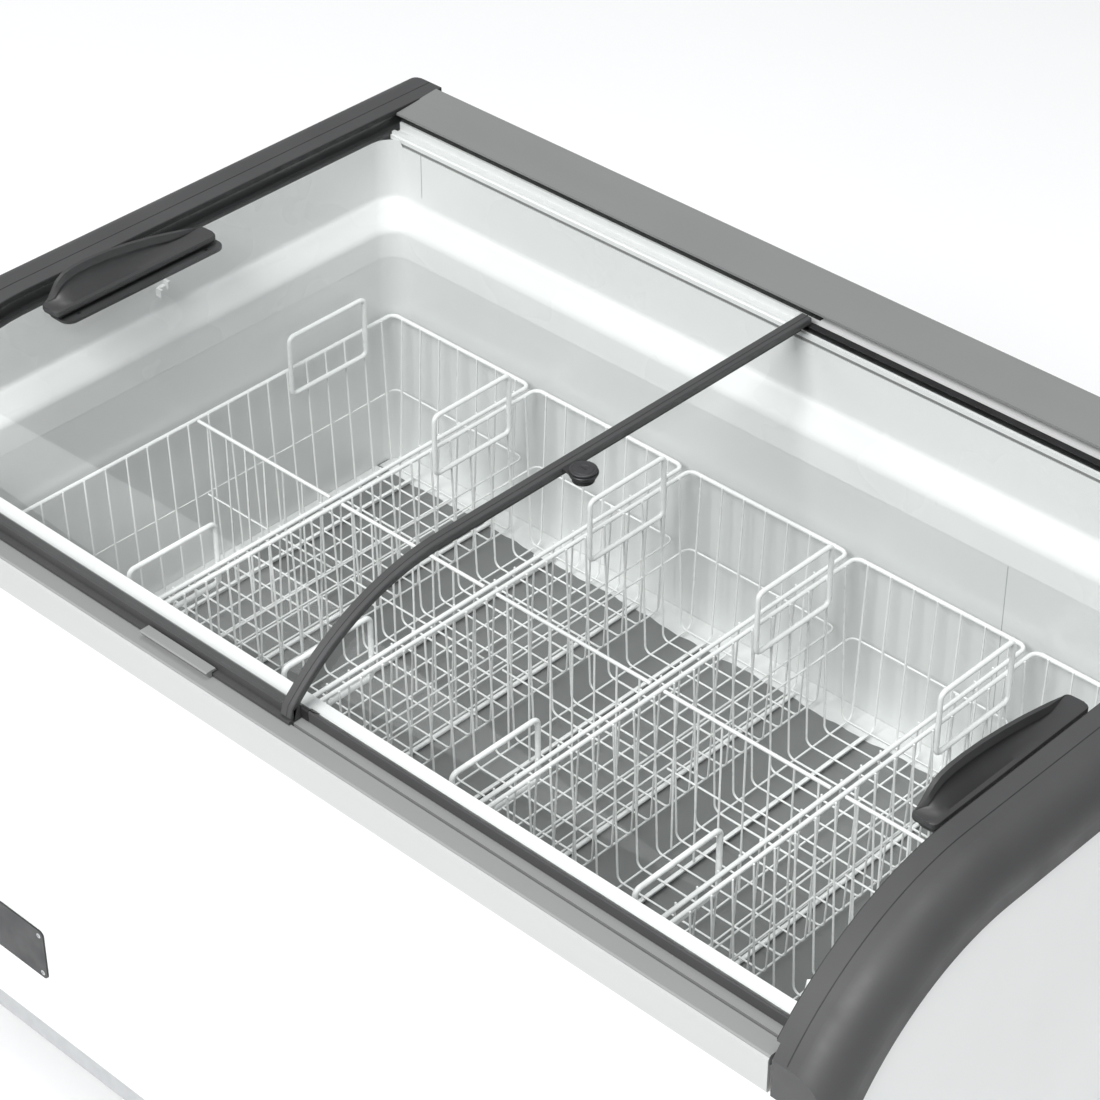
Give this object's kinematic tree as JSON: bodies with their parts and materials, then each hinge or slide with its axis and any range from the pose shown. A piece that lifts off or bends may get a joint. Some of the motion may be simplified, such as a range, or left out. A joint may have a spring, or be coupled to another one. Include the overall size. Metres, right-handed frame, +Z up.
{
  "type": "chest freezer",
  "caption": "Display chest freezer: sliding curved-glass lids with fin handles and a key lock over a tank of lift-out wire baskets, in an insulated steel case on castors.",
  "frame": {"origin": "middle of the footprint at floor level, below the castor wheels", "axes": "+X along the length, to the right of a customer; +Y to the rear; +Z up"},
  "size_m": [1.246, 0.776, 0.8425],
  "materials": {
    "sheet_steel_white": "satin",
    "zinc_steel": "satin",
    "collar_plastic": "satin",
    "tank_metal": "satin",
    "flange_white": "satin",
    "rail_grey": "satin",
    "trim_pale": "satin",
    "cap_dark": "satin",
    "strip_dark": "satin",
    "handle_dark": "satin",
    "screw_steel": "satin",
    "lid_glass": "polished",
    "basket_wire": "satin",
    "foam": "matte",
    "aluminium": "satin",
    "black_steel": "satin",
    "copper": "satin",
    "black_plastic": "satin",
    "drain_plastic": "satin",
    "lock_black": "satin",
    "lock_steel": "satin",
    "castor_steel": "satin",
    "wheel_rubber": "matte"
  },
  "bodies": {
    "cabinet": {"base_pan": "zinc_steel", "castor_plates": "zinc_steel", "collar": "collar_plastic", "compressor": "black_steel", "condenser": "aluminium", "control_panel": "black_plastic", "drain_tube": "drain_plastic", "end_cap_left": "cap_dark", "end_cap_right": "cap_dark", "evaporator_coil": "aluminium", "fan_housing": "black_plastic", "floor_flange": "flange_white", "front_grille": "black_plastic", "front_panel": "sheet_steel_white", "front_rail": "rail_grey", "front_trim": "trim_pale", "inner_tank": "tank_metal", "insulation": "foam", "power_inlet": "black_plastic", "probe_clip": "collar_plastic", "rail_tab": "rail_grey", "rear_grille": "black_plastic", "rear_panel": "sheet_steel_white", "rear_rail": "rail_grey", "refrigerant_pipes": "copper", "side_panel_left": "sheet_steel_white", "side_panel_right": "sheet_steel_white", "tank_floor": "tank_metal"},
    "lid_left": {"lid_left_bar": "strip_dark", "lid_left_foot": "strip_dark", "lid_left_glass": "lid_glass", "lid_left_handle": "handle_dark", "lid_left_handle_plate": "handle_dark", "lid_left_handle_screws": "screw_steel", "lid_left_rear_strip": "strip_dark", "lock_bracket": "lock_black", "lock_body": "lock_black"},
    "lid_right": {"lid_right_foot": "strip_dark", "lid_right_glass": "lid_glass", "lid_right_handle": "handle_dark", "lid_right_handle_plate": "handle_dark", "lid_right_handle_screws": "screw_steel", "lid_right_rear_strip": "strip_dark", "lid_right_strip": "strip_dark"},
    "lock_core": {"lock_core": "lock_steel"},
    "basket_1": {"basket_1": "basket_wire"},
    "basket_2": {"basket_2": "basket_wire"},
    "basket_3": {"basket_3": "basket_wire"},
    "basket_4": {"basket_4": "basket_wire"},
    "basket_5": {"basket_5": "basket_wire"},
    "fan": {"fan_blades": "black_plastic"},
    "knob": {"thermostat_knob": "black_plastic"},
    "castor_1_fork": {"castor_1_fork": "castor_steel"},
    "castor_1_wheel": {"castor_1_wheel": "wheel_rubber"},
    "castor_2_fork": {"castor_2_fork": "castor_steel"},
    "castor_2_wheel": {"castor_2_wheel": "wheel_rubber"},
    "castor_3_fork": {"castor_3_fork": "castor_steel"},
    "castor_3_wheel": {"castor_3_wheel": "wheel_rubber"},
    "castor_4_fork": {"castor_4_fork": "castor_steel"},
    "castor_4_wheel": {"castor_4_wheel": "wheel_rubber"}
  },
  "joints": [
    {"name": "lid_left_slide", "type": "slide", "parent": "cabinet", "child": "lid_left", "axis": [1, 0, 0], "range_m": [0, 0.475]},
    {"name": "lid_right_slide", "type": "slide", "parent": "cabinet", "child": "lid_right", "axis": [1, 0, 0], "range_m": [-0.475, 0]},
    {"name": "lock_turn", "type": "hinge", "parent": "lid_left", "child": "lock_core", "pos_m": [0.0315, -0.0205, 0.8], "axis": [0, 0, 1], "range_deg": [0, 90]},
    {"name": "basket_1_lift", "type": "slide", "parent": "cabinet", "child": "basket_1", "axis": [0, 0, 1], "range_m": [0, 0.12]},
    {"name": "basket_2_lift", "type": "slide", "parent": "cabinet", "child": "basket_2", "axis": [0, 0, 1], "range_m": [0, 0.12]},
    {"name": "basket_3_lift", "type": "slide", "parent": "cabinet", "child": "basket_3", "axis": [0, 0, 1], "range_m": [0, 0.12]},
    {"name": "basket_4_lift", "type": "slide", "parent": "cabinet", "child": "basket_4", "axis": [0, 0, 1], "range_m": [0, 0.12]},
    {"name": "basket_5_lift", "type": "slide", "parent": "cabinet", "child": "basket_5", "axis": [0, 0, 1], "range_m": [0, 0.12]},
    {"name": "fan_spin", "type": "hinge", "parent": "cabinet", "child": "fan", "pos_m": [0.35, -0.252, 0.205], "axis": [0, 1, 0], "continuous": true},
    {"name": "knob_turn", "type": "hinge", "parent": "cabinet", "child": "knob", "pos_m": [-0.472, -0.3815, 0.205], "axis": [0, -1, 0], "range_deg": [0, 270]},
    {"name": "castor_1_swivel", "type": "hinge", "parent": "cabinet", "child": "castor_1_fork", "pos_m": [-0.53, -0.3, 0.07], "axis": [0, 0, 1], "continuous": true},
    {"name": "castor_1_roll", "type": "hinge", "parent": "castor_1_fork", "child": "castor_1_wheel", "pos_m": [-0.53, -0.28, 0.025], "axis": [1, 0, 0], "continuous": true},
    {"name": "castor_2_swivel", "type": "hinge", "parent": "cabinet", "child": "castor_2_fork", "pos_m": [0.53, -0.3, 0.07], "axis": [0, 0, 1], "continuous": true},
    {"name": "castor_2_roll", "type": "hinge", "parent": "castor_2_fork", "child": "castor_2_wheel", "pos_m": [0.53, -0.28, 0.025], "axis": [1, 0, 0], "continuous": true},
    {"name": "castor_3_swivel", "type": "hinge", "parent": "cabinet", "child": "castor_3_fork", "pos_m": [-0.53, 0.3, 0.07], "axis": [0, 0, 1], "continuous": true},
    {"name": "castor_3_roll", "type": "hinge", "parent": "castor_3_fork", "child": "castor_3_wheel", "pos_m": [-0.53, 0.32, 0.025], "axis": [1, 0, 0], "continuous": true},
    {"name": "castor_4_swivel", "type": "hinge", "parent": "cabinet", "child": "castor_4_fork", "pos_m": [0.53, 0.3, 0.07], "axis": [0, 0, 1], "continuous": true},
    {"name": "castor_4_roll", "type": "hinge", "parent": "castor_4_fork", "child": "castor_4_wheel", "pos_m": [0.53, 0.32, 0.025], "axis": [1, 0, 0], "continuous": true}
  ]
}
